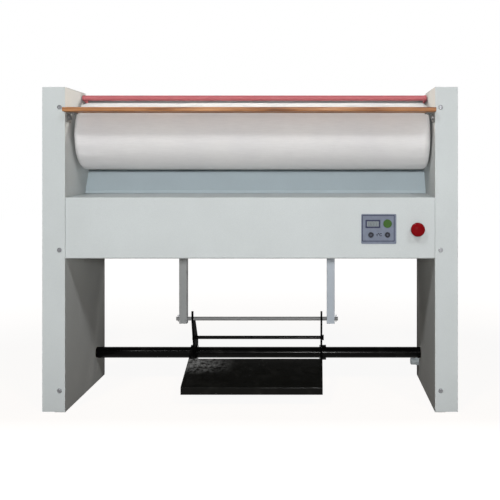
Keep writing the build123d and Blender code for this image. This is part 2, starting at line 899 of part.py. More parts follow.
def pulley(depth, height, radius):
    """A flanged belt pulley on the drive's track."""
    end = pulley_x + pulley_width
    rod_x(depth, height, radius, pulley_x, end)
    rod_x(depth, height, radius + pulley_rim_height, pulley_x - pulley_rim, pulley_x)
    rod_x(depth, height, radius + pulley_rim_height, end, end + pulley_rim)


with BuildPart() as roller_pulley:
    pulley(roller_depth, roller_height, roller_pulley_radius)
    rod_x(
        roller_depth,
        roller_height,
        journal_radius + seat_gap,
        pulley_x - pulley_rim,
        pulley_x + pulley_width + pulley_rim,
        Mode.SUBTRACT,
    )
save(roller_pulley, "roller_pulley")

with BuildPart() as drive_pulley:
    pulley(drive_pulley_depth, drive_pulley_height, drive_pulley_radius)
    rod_x(
        drive_pulley_depth,
        drive_pulley_height,
        drive_shaft_radius,
        shaft_end + flat_gap,
        pulley_x + pulley_width + 2 * pulley_rim,
    )
save(drive_pulley, "drive_pulley")

with BuildPart() as drive_belt:
    for extra, mode in ((flat_gap + belt_thickness, Mode.ADD), (flat_gap, Mode.SUBTRACT)):
        ring = hull_face(
            pulley_x + flat_gap,
            (
                (roller_depth, roller_height, roller_pulley_radius + extra),
                (drive_pulley_depth, drive_pulley_height, drive_pulley_radius + extra),
            ),
        )
        extrude(ring, amount=pulley_width - 2 * flat_gap, mode=mode)
save(drive_belt, "drive_belt")

gearbox_bottom = drive_pulley_height - gearbox_height / 2

with BuildPart() as gearbox:
    block(
        panel_out,
        gearbox_face,
        drive_pulley_depth - gearbox_depth / 2,
        drive_pulley_depth + gearbox_depth / 2,
        gearbox_bottom,
        gearbox_bottom + gearbox_height,
    )
    fillet(gearbox.edges().filter_by(Axis.X), gearbox_corner)
    block(
        panel_out,
        motor_x + motor_radius,
        drive_pulley_depth - motor_radius,
        drive_pulley_depth + motor_radius,
        gearbox_bottom - gearbox_foot,
        gearbox_bottom,
    )
    rod_x(
        drive_pulley_depth,
        drive_pulley_height,
        drive_shaft_radius + running_gap,
        shaft_end,
        gearbox_face,
        Mode.SUBTRACT,
    )
save(gearbox, "gearbox")

motor_top = gearbox_bottom - gearbox_foot

with BuildPart() as motor:
    rod_z(motor_x, drive_pulley_depth, motor_radius, motor_top - motor_length, motor_top)
    fillet(motor.edges().group_by(Axis.Z)[0], gearbox_corner)
save(motor, "motor")

# ================================================================ shoe
shoe_from = roller_shift - shoe_half_length

with BuildPart() as heated_shoe:
    with BuildSketch(Plane.YZ.offset(shoe_from)):
        with BuildLine():
            centre = (at(roller_depth), roller_height)
            sweep_angle = shoe_high_angle - shoe_low_angle
            inner_arc = CenterArc(centre, shoe_inner, shoe_low_angle, sweep_angle)
            outer_arc = CenterArc(centre, shoe_outer, shoe_low_angle, sweep_angle)
            Line(inner_arc @ 0, outer_arc @ 0)
            Line(inner_arc @ 1, outer_arc @ 1)
        make_face()
    extrude(amount=2 * shoe_half_length)
save(heated_shoe, "heated_shoe")

element_ring = shoe_back + element_radius
element_places = [
    (
        roller_depth + element_ring * math.cos(math.radians(angle)),
        roller_height + element_ring * math.sin(math.radians(angle)),
    )
    for angle in element_angles
]

with BuildPart() as heating_elements:
    element_half = shoe_half_length - element_end_gap
    for place in element_places:
        rod_x(*place, element_radius, roller_shift - element_half, roller_shift + element_half)
save(heating_elements, "heating_elements")

bar_front = bar_depth - bar_size / 2
bar_back = bar_depth + bar_size / 2
bar_top = roller_height - bar_top_drop
bar_bottom = press_rod_height - bar_below_rod
shield_back = bar_back + shield_bar_gap
shield_top = machine_height - shield_top_drop
shield_low = saddle_low - shield_below_saddle
shoe_low_depth = roller_depth + shoe_outer * math.cos(math.radians(shoe_low_angle))
shield_points = (
    (shield_depth(shield_top), shield_top),
    (shield_back, machine_height - shield_shoulder_drop),
    (shield_back, shield_low + shield_chamfer),
    (bar_depth, shield_low),
    (shoe_low_depth + shield_front_gap, shield_low),
)

with BuildPart() as shoe_shield:
    shield_face = sheet_face(shoe_from, shield_points, shield_sheet, Side.RIGHT)
    extrude(shield_face, amount=2 * shoe_half_length)
    for side, name in SIDES:
        slot_half = bar_size / 2 + shield_slot_gap
        block(
            side * bar_x - slot_half,
            side * bar_x + slot_half,
            bar_front - shield_slot_gap,
            bar_back + shield_slot_gap,
            shield_low,
            shield_low + shield_chamfer,
            Mode.SUBTRACT,
        )
save(shoe_shield, "shoe_shield")

with BuildPart() as shoe_insulation:
    with BuildSketch(Plane.YZ.offset(shoe_from)):
        with BuildLine():
            Polyline(*[(at(depth), height) for depth, height in shield_points], close=True)
        make_face()
        offset(amount=-(shield_sheet + flat_gap), kind=Kind.INTERSECTION)
        with Locations((at(roller_depth), roller_height)):
            Circle(shoe_back, mode=Mode.SUBTRACT)
        with Locations(*[(at(depth), height) for depth, height in element_places]):
            Circle(element_radius + flat_gap, mode=Mode.SUBTRACT)
    extrude(amount=2 * shoe_half_length)
    for side, name in SIDES:
        slot_half = saddle_half_width + flat_gap
        block(
            side * bar_x - slot_half,
            side * bar_x + slot_half,
            roller_depth,
            bar_back + flat_gap,
            shield_low,
            bar_top + flat_gap,
            Mode.SUBTRACT,
        )
save(shoe_insulation, "shoe_insulation")

# Square tubes with a saddle that is welded to the shoe's back, and a sleeve on the pivot shaft.
for side, name in SIDES:
    x = side * bar_x
    with BuildPart() as press_bar:
        block(x - bar_size / 2, x + bar_size / 2, bar_front, bar_back, bar_bottom, bar_top)
        fillet(press_bar.edges().filter_by(Axis.Z), bar_corner)
        inner = bar_size / 2 - bar_wall
        block(x - inner, x + inner, bar_depth - inner, bar_depth + inner, bar_bottom, bar_top, Mode.SUBTRACT)
        rod_x(bar_depth, pivot_height, pivot_sleeve_radius, x - pivot_sleeve_half, x + pivot_sleeve_half)
        with BuildSketch(Plane.YZ.offset(x - saddle_half_width)):
            with Locations((at(roller_depth), saddle_low)):
                saddle_reach = bar_front + bar_wall - roller_depth
                Rectangle(saddle_reach, saddle_low_drop - saddle_high_drop, align=Align.MIN)
            with Locations((at(roller_depth), roller_height)):
                Circle(shoe_back, mode=Mode.SUBTRACT)
        extrude(amount=2 * saddle_half_width)
        bore = pivot_radius + running_gap
        rod_x(bar_depth, pivot_height, bore, x - pivot_sleeve_half, x + pivot_sleeve_half, Mode.SUBTRACT)
        hole = press_rod_radius + seat_gap
        rod_x(bar_depth, press_rod_height, hole, x - bar_size / 2, x + bar_size / 2, Mode.SUBTRACT)
    save(press_bar, f"press_bar_{name}")

cotter_x = press_rod_half - cotter_inset

with BuildPart() as press_rod:
    rod_x(bar_depth, press_rod_height, press_rod_radius, -press_rod_half, press_rod_half)
    for side, name in SIDES:
        rod_z(
            side * cotter_x,
            bar_depth,
            cotter_radius + seat_gap,
            press_rod_height - press_rod_radius,
            press_rod_height + press_rod_radius,
            Mode.SUBTRACT,
        )
save(press_rod, "press_rod")

with BuildPart() as cotter_pins:
    for side, name in SIDES:
        x = side * cotter_x
        rod_z(x, bar_depth, cotter_radius, press_rod_height - cotter_half, press_rod_height + cotter_half)
        head = press_rod_height + cotter_half
        rod_y(x, head, 2 * cotter_radius, bar_depth - cotter_radius, bar_depth + cotter_radius)
save(cotter_pins, "cotter_pins")

with BuildPart() as pivot_shaft:
    rod_x(bar_depth, pivot_height, pivot_radius, -panel_out, panel_out)
    for side, name in SIDES:
        inner = panel_out - pivot_bolt_reach - pivot_bolt_room
        hole = pivot_bolt_radius + seat_gap
        rod_x(bar_depth, pivot_height, hole, side * inner, side * panel_out, Mode.SUBTRACT)
save(pivot_shaft, "pivot_shaft")

with BuildPart() as pivot_bolts:
    for side, name in SIDES:
        place = (bar_depth, pivot_height)
        rod_x(*place, pivot_bolt_radius, side * (panel_out - pivot_bolt_reach), side * panel_out)
        hexagon_x(*place, pivot_head_width, side * panel_out, side * (panel_out + pivot_head_height))
        rod_x(*place, pivot_washer_radius, side * panel_out, side * (panel_out + pivot_washer))
save(pivot_bolts, "pivot_bolts")

# ================================================================ pedal
tube_half = arm_x + spring_arm_thickness + tube_proud

with BuildPart() as pedal_tube:
    place = (pedal_depth, pedal_height)
    rod_x(*place, pedal_tube_radius, -tube_half, tube_half)
    rod_x(*place, pedal_tube_radius - pedal_tube_wall, -tube_half, tube_half, Mode.SUBTRACT)
save(pedal_tube, "pedal_tube")

finger_back = bar_depth - press_rod_radius - flat_gap
finger_front = finger_back - finger_width
finger_top = press_rod_height + finger_rise
lever_shoulder_height = press_rod_height - lever_shoulder_drop
lever_edge_depth = plate_back_depth + lever_edge_gap
lever_points = (
    (finger_front, finger_top),
    (finger_back, finger_top),
    (finger_back, lever_shoulder_height),
    (lever_shoulder_depth, lever_shoulder_height),
    (lever_waist_back, lever_waist_height),
    (lever_waist_back, pedal_height),
    (pedal_depth + lever_heel_back, pedal_height - lever_heel_drop),
    (pedal_depth - lever_heel_front, pedal_height - lever_heel_drop),
    (plate_back_depth, plate_under(plate_back_depth, lever_arm_height)),
    (lever_front_depth, plate_under(lever_front_depth, lever_arm_height)),
    (lever_front_depth, plate_under(lever_front_depth, flat_gap)),
    (lever_edge_depth, plate_under(lever_edge_depth, flat_gap)),
    (lever_edge_depth, plate_top(plate_back_depth, lever_back_rise)),
    (lever_waist_front, lever_waist_height),
    (finger_front, lever_shoulder_height),
)

for side, name in SIDES:
    with BuildPart() as pedal_lever:
        extrude(polygon_face(side * lever_outer, lever_points), amount=-side * lever_thickness)
        inner = lever_outer - lever_thickness
        for depth, height, radius in (
            (pedal_depth, pedal_height, pedal_tube_radius),
            (cross_rod_depth, cross_rod_height, cross_rod_radius),
        ):
            rod_x(depth, height, radius + seat_gap, side * inner, side * lever_outer, Mode.SUBTRACT)
    save(pedal_lever, f"pedal_lever_{name}")

with BuildPart() as pedal_collars:
    for side, name in SIDES:
        inner = lever_outer - lever_thickness - flat_gap
        outer = lever_outer + flat_gap
        for x_from, x_to in ((inner - collar_inner_width, inner), (outer, outer + collar_width)):
            place = (pedal_depth, pedal_height)
            rod_x(*place, collar_radius, side * x_from, side * x_to)
            bore = pedal_tube_radius + seat_gap
            rod_x(*place, bore, side * x_from, side * x_to, Mode.SUBTRACT)
save(pedal_collars, "pedal_collars")

with BuildPart() as cross_rod:
    place = (cross_rod_depth, cross_rod_height)
    nut_face = lever_outer + flat_gap
    rod_end = nut_face + cross_nut_height
    rod_x(*place, cross_rod_radius, -rod_end, rod_end)
    for side, name in SIDES:
        hexagon_x(*place, cross_nut_width, side * nut_face, side * rod_end)
save(cross_rod, "cross_rod")

with BuildPart() as pedal_plate:
    plate_points = (
        (plate_back_depth, plate_back_height),
        (plate_front_depth, plate_front_height),
        (plate_front_depth, plate_lip_bottom),
    )
    plate_face = sheet_face(-lever_outer, plate_points, plate_sheet, Side.LEFT, plate_bend)
    extrude(plate_face, amount=pedal_width)
save(pedal_plate, "pedal_plate")

# ================================================================ springs
spring_depth = pedal_depth - spring_arm_length
coil_inner = spring_mean_radius - spring_wire_radius


def spring_plug(x, height, direction):
    """A plug with a seat that holds one end of a spring; direction is +1 up or -1 down."""
    low, high = sorted((height - direction * plug_tail, height + direction * plug_length))
    rod_z(x, spring_depth, coil_inner - flat_gap, low, high)
    start = height + direction * plug_seat_start
    low, high = sorted((start, start + direction * plug_seat))
    rod_z(x, spring_depth, plug_seat_radius, low, high)


with BuildPart() as spring_arms:
    for side, name in SIDES:
        arm = hull_face(
            side * arm_x,
            (
                (pedal_depth, pedal_height, collar_radius),
                (spring_depth, pedal_height, spring_arm_eye),
            ),
        )
        extrude(arm, amount=side * spring_arm_thickness)
        outer = arm_x + spring_arm_thickness
        bore = pedal_tube_radius + seat_gap
        rod_x(pedal_depth, pedal_height, bore, side * arm_x, side * outer, Mode.SUBTRACT)
        rod_x(spring_depth, pedal_height, spring_pin_radius, side * arm_x, side * (outer + spring_pin_reach))
        spring_plug(side * spring_x, pedal_height, 1)
save(spring_arms, "spring_arms")

with BuildPart() as spring_anchors:
    for side, name in SIDES:
        end = arm_x + spring_arm_thickness + spring_pin_reach
        rod_x(spring_depth, spring_anchor_height, spring_pin_radius, side * panel_out, side * end)
        spring_plug(side * spring_x, spring_anchor_height, -1)
save(spring_anchors, "spring_anchors")

seat_offset = plug_seat_start + plug_seat + flat_gap + spring_wire_radius
spring_low = pedal_height + seat_offset
spring_high = spring_anchor_height - seat_offset

for side, name in SIDES:
    with BuildPart() as pressure_spring:
        with BuildLine(Plane((side * spring_x, at(spring_depth), spring_low))) as coil:
            Helix(pitch=spring_pitch, height=spring_high - spring_low, radius=spring_mean_radius)
        wire_start = (side * spring_x + spring_mean_radius, at(spring_depth), spring_low)
        with BuildSketch(Plane(origin=wire_start, z_dir=(0, 1, 0))) as wire:
            Circle(spring_wire_radius)
        sweep(wire.sketch, path=coil.line, is_frenet=True)
    save(pressure_spring, f"pressure_spring_{name}")

# ================================================================ guard bar
with BuildPart() as guard_bar:
    guard_half = gap_half - guard_end_gap
    rod_x(guard_depth, guard_height, guard_radius, -guard_half, guard_half)
    for side, name in SIDES:
        arm_outer = gap_half - guard_arm_gap
        arm = hull_face(
            side * arm_outer,
            (
                (guard_depth, guard_height, guard_arm_radius),
                (guard_pivot_depth, guard_pivot_height, guard_arm_radius),
            ),
        )
        extrude(arm, amount=-side * guard_arm_thickness)
        place = (guard_pivot_depth, guard_pivot_height)
        rod_x(*place, guard_stub_radius, side * arm_outer, side * (panel_out + guard_stub_reach))
    cam_x = panel_out + guard_stub_reach - cam_width
    cam = hull_face(
        cam_x,
        (
            (guard_pivot_depth, guard_pivot_height, guard_arm_radius),
            (guard_pivot_depth, guard_pivot_height - cam_drop, cam_tip_radius),
        ),
    )
    extrude(cam, amount=cam_width)
save(guard_bar, "guard_bar")

# Bushes in the inner panels for the guard bar's stubs and for the pedal tube.
with BuildPart() as pivot_bushes:
    for side, name in SIDES:
        place = (guard_pivot_depth, guard_pivot_height)
        outer = panel_out + guard_bush_flange
        rod_x(*place, guard_bush_radius, side * (gap_half - guard_bush_proud), side * outer)
        rod_x(*place, guard_bush_flange_radius, side * panel_out, side * outer)
        bore = guard_stub_radius + running_gap
        rod_x(*place, bore, side * (gap_half - guard_bush_proud), side * outer, Mode.SUBTRACT)
        place = (pedal_depth, pedal_height)
        bore = pedal_tube_radius + running_gap
        outer = panel_out + bush_length
        rod_x(*place, bore + bush_wall, side * gap_half, side * outer)
        rod_x(*place, bush_flange_radius, side * panel_out, side * (panel_out + bush_flange))
        rod_x(*place, bore, side * gap_half, side * outer, Mode.SUBTRACT)
save(pivot_bushes, "pivot_bushes")

# The switch under the cam; its plunger is pressed while the guard bar lies in its place.
plunger_top = guard_pivot_height - cam_drop - cam_tip_radius - flat_gap
switch_top = plunger_top - switch_plunger_height

with BuildPart() as guard_switch:
    block(
        panel_out,
        panel_out + switch_width,
        guard_pivot_depth - switch_depth / 2,
        guard_pivot_depth + switch_depth / 2,
        switch_top - switch_height,
        switch_top,
    )
    plunger_x = cam_x + cam_width / 2
    rod_z(plunger_x, guard_pivot_depth, switch_plunger_radius, switch_top, plunger_top)
save(guard_switch, "guard_switch")

# ================================================================ controls
panel_face = beam_depth - panel_sheet
board_front = beam_depth + board_depth
window_x = panel_x - window_left
window_z = panel_z + window_rise
button_x = panel_x + button_right
button_row_z = panel_z - button_row_drop
buttons = (
    ("start_button", button_x, panel_z + start_button_rise, start_button_radius),
    ("plus_button", button_x, button_row_z, small_button_radius),
    ("minus_button", panel_x - small_button_left, button_row_z, small_button_radius),
)

with BuildPart() as control_panel:
    block(
        panel_x - panel_width / 2,
        panel_x + panel_width / 2,
        panel_face,
        beam_depth,
        panel_z - panel_height / 2,
        panel_z + panel_height / 2,
    )
    fillet(control_panel.edges().filter_by(Axis.Y), panel_corner)
    for i, j in FOUR_CORNERS:
        x = panel_x + i * (panel_hole_width / 2 - 2 * board_margin)
        z = panel_z + j * (panel_hole_height / 2 - 2 * board_margin)
        rod_y(x, z, standoff_radius, beam_depth, board_front)
    block(
        window_x - window_width / 2,
        window_x + window_width / 2,
        panel_face,
        beam_depth,
        window_z - window_height / 2,
        window_z + window_height / 2,
        Mode.SUBTRACT,
    )
    for name, x, z, radius in buttons:
        rod_y(x, z, radius + flat_gap, panel_face, beam_depth, Mode.SUBTRACT)
save(control_panel, "control_panel")

with BuildPart() as display_window:
    block(
        window_x - window_width / 2 + flat_gap,
        window_x + window_width / 2 - flat_gap,
        panel_face + flat_gap,
        panel_face + flat_gap + window_sheet,
        window_z - window_height / 2 + flat_gap,
        window_z + window_height / 2 - flat_gap,
    )
save(display_window, "display_window")

with BuildPart() as control_board:
    block(
        panel_x - panel_hole_width / 2 + board_margin,
        panel_x + panel_hole_width / 2 - board_margin,
        board_front,
        board_front + board_sheet,
        panel_z - panel_hole_height / 2 + board_margin,
        panel_z + panel_hole_height / 2 - board_margin,
    )
save(control_board, "control_board")

for name, x, z, radius in buttons:
    with BuildPart() as button:
        flange_front = beam_depth + flat_gap
        flange_back = flange_front + button_flange_height
        rod_y(x, z, radius, panel_face - button_proud, flange_front)
        fillet(button.edges().group_by(Axis.Y)[0], button_proud / 2)
        rod_y(x, z, radius + button_flange, flange_front, flange_back)
        rod_y(x, z, button_stem_radius, flange_back, board_front - button_travel - flat_gap)
    save(button, name)

block_front = beam_depth + beam_sheet
barrel_bore = estop_stem_radius + running_gap

with BuildPart() as estop_collar:
    rod_y(estop_x, estop_z, estop_collar_radius, beam_depth - estop_collar_height, beam_depth)
    rod_y(estop_x, estop_z, barrel_bore + estop_barrel_wall, beam_depth, block_front)
    rod_y(estop_x, estop_z, barrel_bore, beam_depth - estop_collar_height, block_front, Mode.SUBTRACT)
save(estop_collar, "estop_collar")

plunger_back = block_front + estop_stem_reach
pocket_back = plunger_back + estop_travel + estop_pocket_room

with BuildPart() as estop_contact_block:
    half = contact_block_size / 2
    block(
        estop_x - half,
        estop_x + half,
        block_front,
        block_front + contact_block_depth,
        estop_z - half,
        estop_z + half,
    )
    rod_y(estop_x, estop_z, estop_stem_radius + flat_gap, block_front, pocket_back, Mode.SUBTRACT)
save(estop_contact_block, "estop_contact_block")

# The plunger slides in the collar, and the head turns on the plunger's spigot.
head_back = beam_depth - estop_head_start
head_front = head_back - estop_head_depth
spigot_radius = estop_stem_radius - estop_barrel_wall
spigot_front = head_back - estop_grip_depth

with BuildPart() as estop_plunger:
    rod_y(estop_x, estop_z, estop_stem_radius, head_back + flat_gap, plunger_back)
    rod_y(estop_x, estop_z, spigot_radius, spigot_front + flat_gap, head_back + flat_gap)
save(estop_plunger, "estop_plunger")

with BuildPart() as estop_head:
    rod_y(estop_x, estop_z, estop_head_radius, head_front, head_back)
    fillet(estop_head.edges().group_by(Axis.Y)[0], estop_head_corner)
    rod_y(estop_x, estop_z, spigot_radius + running_gap, spigot_front, head_back, Mode.SUBTRACT)
save(estop_head, "estop_head")

tray_floor = beam_bottom + 2 * beam_sheet

with BuildPart() as contactor:
    block(
        contactor_x - contactor_width / 2,
        contactor_x + contactor_width / 2,
        contactor_front,
        contactor_front + contactor_depth,
        tray_floor,
        tray_floor + contactor_height,
    )
    fillet(contactor.edges().filter_by(Axis.Z), recess_width)
save(contactor, "contactor")

with BuildPart() as cable_gland:
    place = (gland_depth, gland_height)
    hex_end = gap_half - gland_hex
    dome_end = hex_end - gland_dome
    thread_end = panel_out + gland_thread_reach
    hexagon_x(*place, gland_width, gap_half, hex_end)
    rod_x(*place, gland_dome_radius, dome_end, hex_end)
    fillet(cable_gland.edges().filter_by(GeomType.CIRCLE).group_by(Axis.X)[0], gland_dome_corner)
    rod_x(*place, gland_thread_radius, gap_half, thread_end)
    hexagon_x(*place, gland_width, panel_out, panel_out + gland_nut_thickness)
    rod_x(*place, gland_bore_radius, dome_end, thread_end, Mode.SUBTRACT)
save(cable_gland, "cable_gland")
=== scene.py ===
import json
import math

import bmesh
import bpy
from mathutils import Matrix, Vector, noise


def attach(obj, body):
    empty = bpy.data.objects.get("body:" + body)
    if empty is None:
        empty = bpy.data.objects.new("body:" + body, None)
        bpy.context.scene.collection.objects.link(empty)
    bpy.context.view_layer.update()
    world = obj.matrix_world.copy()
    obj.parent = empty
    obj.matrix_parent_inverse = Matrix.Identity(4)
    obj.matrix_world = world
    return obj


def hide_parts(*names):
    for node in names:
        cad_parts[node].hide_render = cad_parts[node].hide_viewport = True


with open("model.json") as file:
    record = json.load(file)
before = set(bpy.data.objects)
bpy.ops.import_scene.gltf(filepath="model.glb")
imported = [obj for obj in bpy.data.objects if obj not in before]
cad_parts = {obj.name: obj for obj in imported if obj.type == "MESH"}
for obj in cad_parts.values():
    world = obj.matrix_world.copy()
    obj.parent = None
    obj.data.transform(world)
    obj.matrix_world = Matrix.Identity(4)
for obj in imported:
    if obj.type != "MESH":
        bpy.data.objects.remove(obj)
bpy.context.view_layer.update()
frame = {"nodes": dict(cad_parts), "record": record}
NODES = frame["nodes"]

# Places and sizes in the row frame, in metres, as in the CAD source.
FRONT = -0.1955
ROLLER = Vector((0.0018, -0.0535, 0.793))
ROLLER_HALF = 0.5202
ROLLER_RADIUS = 0.1
BEAM_FACE = FRONT + 0.003
PANEL_FACE = FRONT + 0.0015
WINDOW = (0.3502, 0.5373)
STOP = (0.4764, 0.5224)
HEAD_BACK = BEAM_FACE - 0.012
KNOB_RADIUS = 0.02


# ---------------------------------------------------------------- materials
class Look:
    """A node material built step by step; every texture is in object coordinates, in metres."""

    def __init__(self, name, **sockets):
        self.material = bpy.data.materials.new(name)
        self.material.use_nodes = True
        self.tree = self.material.node_tree
        self.bsdf = self.tree.nodes["Principled BSDF"]
        for socket, value in sockets.items():
            self.bsdf.inputs[socket.replace("_", " ")].default_value = value
        self.place = self.add("ShaderNodeTexCoord").outputs["Object"]
        self.height = None

    def add(self, kind, links=None, **settings):
        """A node with some settings, and values or links for its inputs."""
        made = self.tree.nodes.new(kind)
        for key, value in settings.items():
            setattr(made, key, value)
        for key, value in (links or {}).items():
            if isinstance(value, bpy.types.NodeSocket):
                self.tree.links.new(value, made.inputs[key])
            else:
                made.inputs[key].default_value = value
        return made

    def math(self, operation, first, second=0.0):
        return self.add("ShaderNodeMath", {0: first, 1: second}, operation=operation).outputs[0]

    def stretched(self, scale):
        """The place with each axis scaled, for grain and brushing."""
        return self.add("ShaderNodeMapping", {"Vector": self.place, "Scale": scale}).outputs[0]

    def noise(self, scale, detail=4.0, where=None, rough=0.55):
        links = {"Vector": where or self.place, "Scale": scale, "Detail": detail, "Roughness": rough}
        return self.add("ShaderNodeTexNoise", links).outputs[0]

    def cells(self, scale, where=None):
        links = {"Vector": where or self.place, "Scale": scale}
        return self.add("ShaderNodeTexVoronoi", links).outputs["Distance"]

    def ramp(self, factor, *stops):
        """Colours or grey levels at positions of a factor."""
        made = self.add("ShaderNodeValToRGB", {0: factor})
        points = made.color_ramp.elements
        while len(points) < len(stops):
            points.new(0.5)
        for point, (position, value) in zip(points, stops):
            point.position = position
            point.color = (*value, 1) if hasattr(value, "__len__") else (value, value, value, 1)
        return made.outputs[0]

    def mix(self, factor, first, second, blend="MIX"):
        made = self.add("ShaderNodeMix", {0: factor}, data_type="RGBA", blend_type=blend)
        for index, value in ((6, first), (7, second)):
            if isinstance(value, bpy.types.NodeSocket):
                self.tree.links.new(value, made.inputs[index])
            else:
                made.inputs[index].default_value = (*value, 1)
        return made.outputs[2]

    def set(self, socket, value):
        self.tree.links.new(value, self.bsdf.inputs[socket])

    def bump(self, height, distance, strength=1.0):
        """Adds relief of this distance in metres on top of what is there."""
        links = {"Height": height, "Distance": distance, "Strength": strength}
        if self.height:
            links["Normal"] = self.height
        self.height = self.add("ShaderNodeBump", links).outputs[0]
        self.set("Normal", self.height)


# Grey of the pedal plate's light blotches: partly scuffing of the paint, partly a painted reflection.
SCUFF_AND_REFLECTION_GREY = (0.24, 0.24, 0.235)
CLOTH_THREAD = 0.0011


def shade(colour, factor):
    """A colour made lighter or darker."""
    return tuple(min(1.0, channel * factor) for channel in colour)


def powder_coat(name, colour, roughness=0.52, sparkle=0.06, specular=0.2):
    """Sprayed powder: orange peel, faint clouds, fine light specks, and painted shade that darkens corners
    and recesses.
    """
    look = Look(name, Roughness=roughness, Specular_IOR_Level=specular)
    clouds = look.ramp(look.noise(5.0, 3.0), (0.35, shade(colour, 0.97)), (0.65, shade(colour, 1.02)))
    specks = look.ramp(look.noise(1400.0, 2.0), (0.42, 1.0 - sparkle), (0.60, 1.0 + sparkle / 2))
    coat = look.mix(1.0, clouds, specks, "MULTIPLY")
    # Painted shade: the colour darkens towards corners and recesses, found by ambient occlusion.
    hidden = look.add("ShaderNodeAmbientOcclusion", {"Distance": 0.03}, samples=4).outputs["AO"]
    corner_shade = look.ramp(hidden, (0.1, 0.35), (0.7, 0.0))
    look.set("Base Color", look.mix(corner_shade, coat, shade(colour, 0.62)))
    look.set("Roughness", look.ramp(look.noise(60.0), (0.3, roughness - 0.06), (0.7, roughness + 0.08)))
    look.bump(look.noise(420.0, 2.0), 0.00012, 0.5)
    look.bump(look.noise(40.0, 1.0), 0.0006, 0.08)
    return look.material


def metal(name, colour, roughness, brushed=(1.0, 1.0, 1.0), stain=0.85):
    """Bare or plated metal with fine brushing along one axis and duller patches."""
    look = Look(name, Metallic=1.0)
    grain = look.noise(900.0, 3.0, look.stretched(brushed))
    patches = look.ramp(look.noise(35.0, 5.0), (0.38, shade(colour, stain)), (0.62, colour))
    look.set("Base Color", look.mix(1.0, patches, look.ramp(grain, (0.3, 0.9), (0.7, 1.0)), "MULTIPLY"))
    look.set("Roughness", look.ramp(look.noise(90.0), (0.3, roughness - 0.07), (0.7, roughness + 0.1)))
    look.bump(grain, 0.00006, 0.6)
    return look.material


def gloss_paint(name, colour, roughness, worn, peel=0.5, index=1.3, with_scuffs_and_reflection=False):
    """Brushed or dipped gloss paint with runs, dust and a few worn spots."""
    look = Look(name, IOR=index)
    base = look.ramp(look.noise(26.0, 6.0), (0.52, colour), (0.78, worn))
    # Light blotches on the pedal plate: partly scuffs, partly a painted reflection.
    if with_scuffs_and_reflection:
        base = look.mix(scuffs_and_painted_reflection(look), base, SCUFF_AND_REFLECTION_GREY)
    fine = look.ramp(look.noise(700.0, 3.0), (0.3, 0.9), (0.7, 1.06))
    look.set("Base Color", look.mix(1.0, base, fine, "MULTIPLY"))
    look.set("Roughness", look.ramp(look.noise(48.0, 5.0), (0.35, roughness), (0.75, roughness + 0.16)))
    look.bump(look.noise(95.0, 2.0), 0.0006, 0.12 * peel)
    look.bump(look.noise(600.0, 2.0), 0.00008, peel)
    return look.material


def scuffs_and_painted_reflection(look):
    """Light blotches towards the pedal plate's left and back: partly where shoes have dulled it, partly a
    painted reflection.
    """
    split = look.add("ShaderNodeSeparateXYZ", {0: look.place})
    left = look.ramp(look.math("MULTIPLY", split.outputs[0], -4.0), (0.25, 0.0), (0.7, 1.0))
    back = look.ramp(look.math("ADD", split.outputs[1], 0.5), (0.42, 0.0), (0.465, 1.0))
    blotches = look.ramp(look.noise(75.0, 6.0, rough=0.7), (0.40, 0.0), (0.62, 1.0))
    return look.math("MULTIPLY", look.math("MULTIPLY", left, back), blotches)


def plastic(name, colour, roughness, grain=0.00005, specular=0.5):
    """Moulded plastic with a fine eroded grain and slight shade changes."""
    look = Look(name, Specular_IOR_Level=specular)
    base = look.ramp(look.noise(60.0, 3.0), (0.35, shade(colour, 0.9)), (0.65, shade(colour, 1.06)))
    look.set("Base Color", base)
    look.set("Roughness", look.ramp(look.noise(150.0), (0.3, roughness - 0.04), (0.7, roughness + 0.07)))
    look.bump(look.noise(1800.0, 3.0), grain, 0.8)
    return look.material


def oiled_wood():
    """Straight-grained beech or larch, with dark streaks along X and dark end grain."""
    look = Look("oiled_wood", Specular_IOR_Level=0.35)
    along = look.stretched((2.2, 70.0, 70.0))
    wander = look.stretched((1.3, 9.0, 9.0))
    streaks = look.noise(3.0, 6.0, along, 0.65)
    bands = look.noise(4.0, 3.0, wander)
    grain = look.math("ADD", look.math("MULTIPLY", streaks, 0.62), look.math("MULTIPLY", bands, 0.38))
    tones = look.ramp(
        grain,
        (0.36, (0.135, 0.045, 0.014)),
        (0.45, (0.285, 0.112, 0.035)),
        (0.53, (0.40, 0.172, 0.060)),
        (0.64, (0.52, 0.25, 0.102)),
    )
    pores = look.ramp(look.noise(12.0, 2.0, look.stretched((6.0, 260.0, 260.0))), (0.60, 1.0), (0.72, 0.62))
    planed = look.mix(1.0, tones, pores, "MULTIPLY")
    normal = look.add("ShaderNodeNewGeometry").outputs["True Normal"]
    facing = look.add("ShaderNodeSeparateXYZ", {0: normal})
    end = look.math("GREATER_THAN", look.math("ABSOLUTE", facing.outputs[0]), 0.7)
    rings = look.ramp(look.noise(260.0, 3.0), (0.4, (0.075, 0.035, 0.018)), (0.6, (0.19, 0.09, 0.04)))
    look.set("Base Color", look.mix(end, planed, rings))
    look.set("Roughness", look.ramp(streaks, (0.35, 0.62), (0.65, 0.42)))
    look.bump(look.noise(14.0, 4.0, along), 0.0004, 0.5)
    return look.material


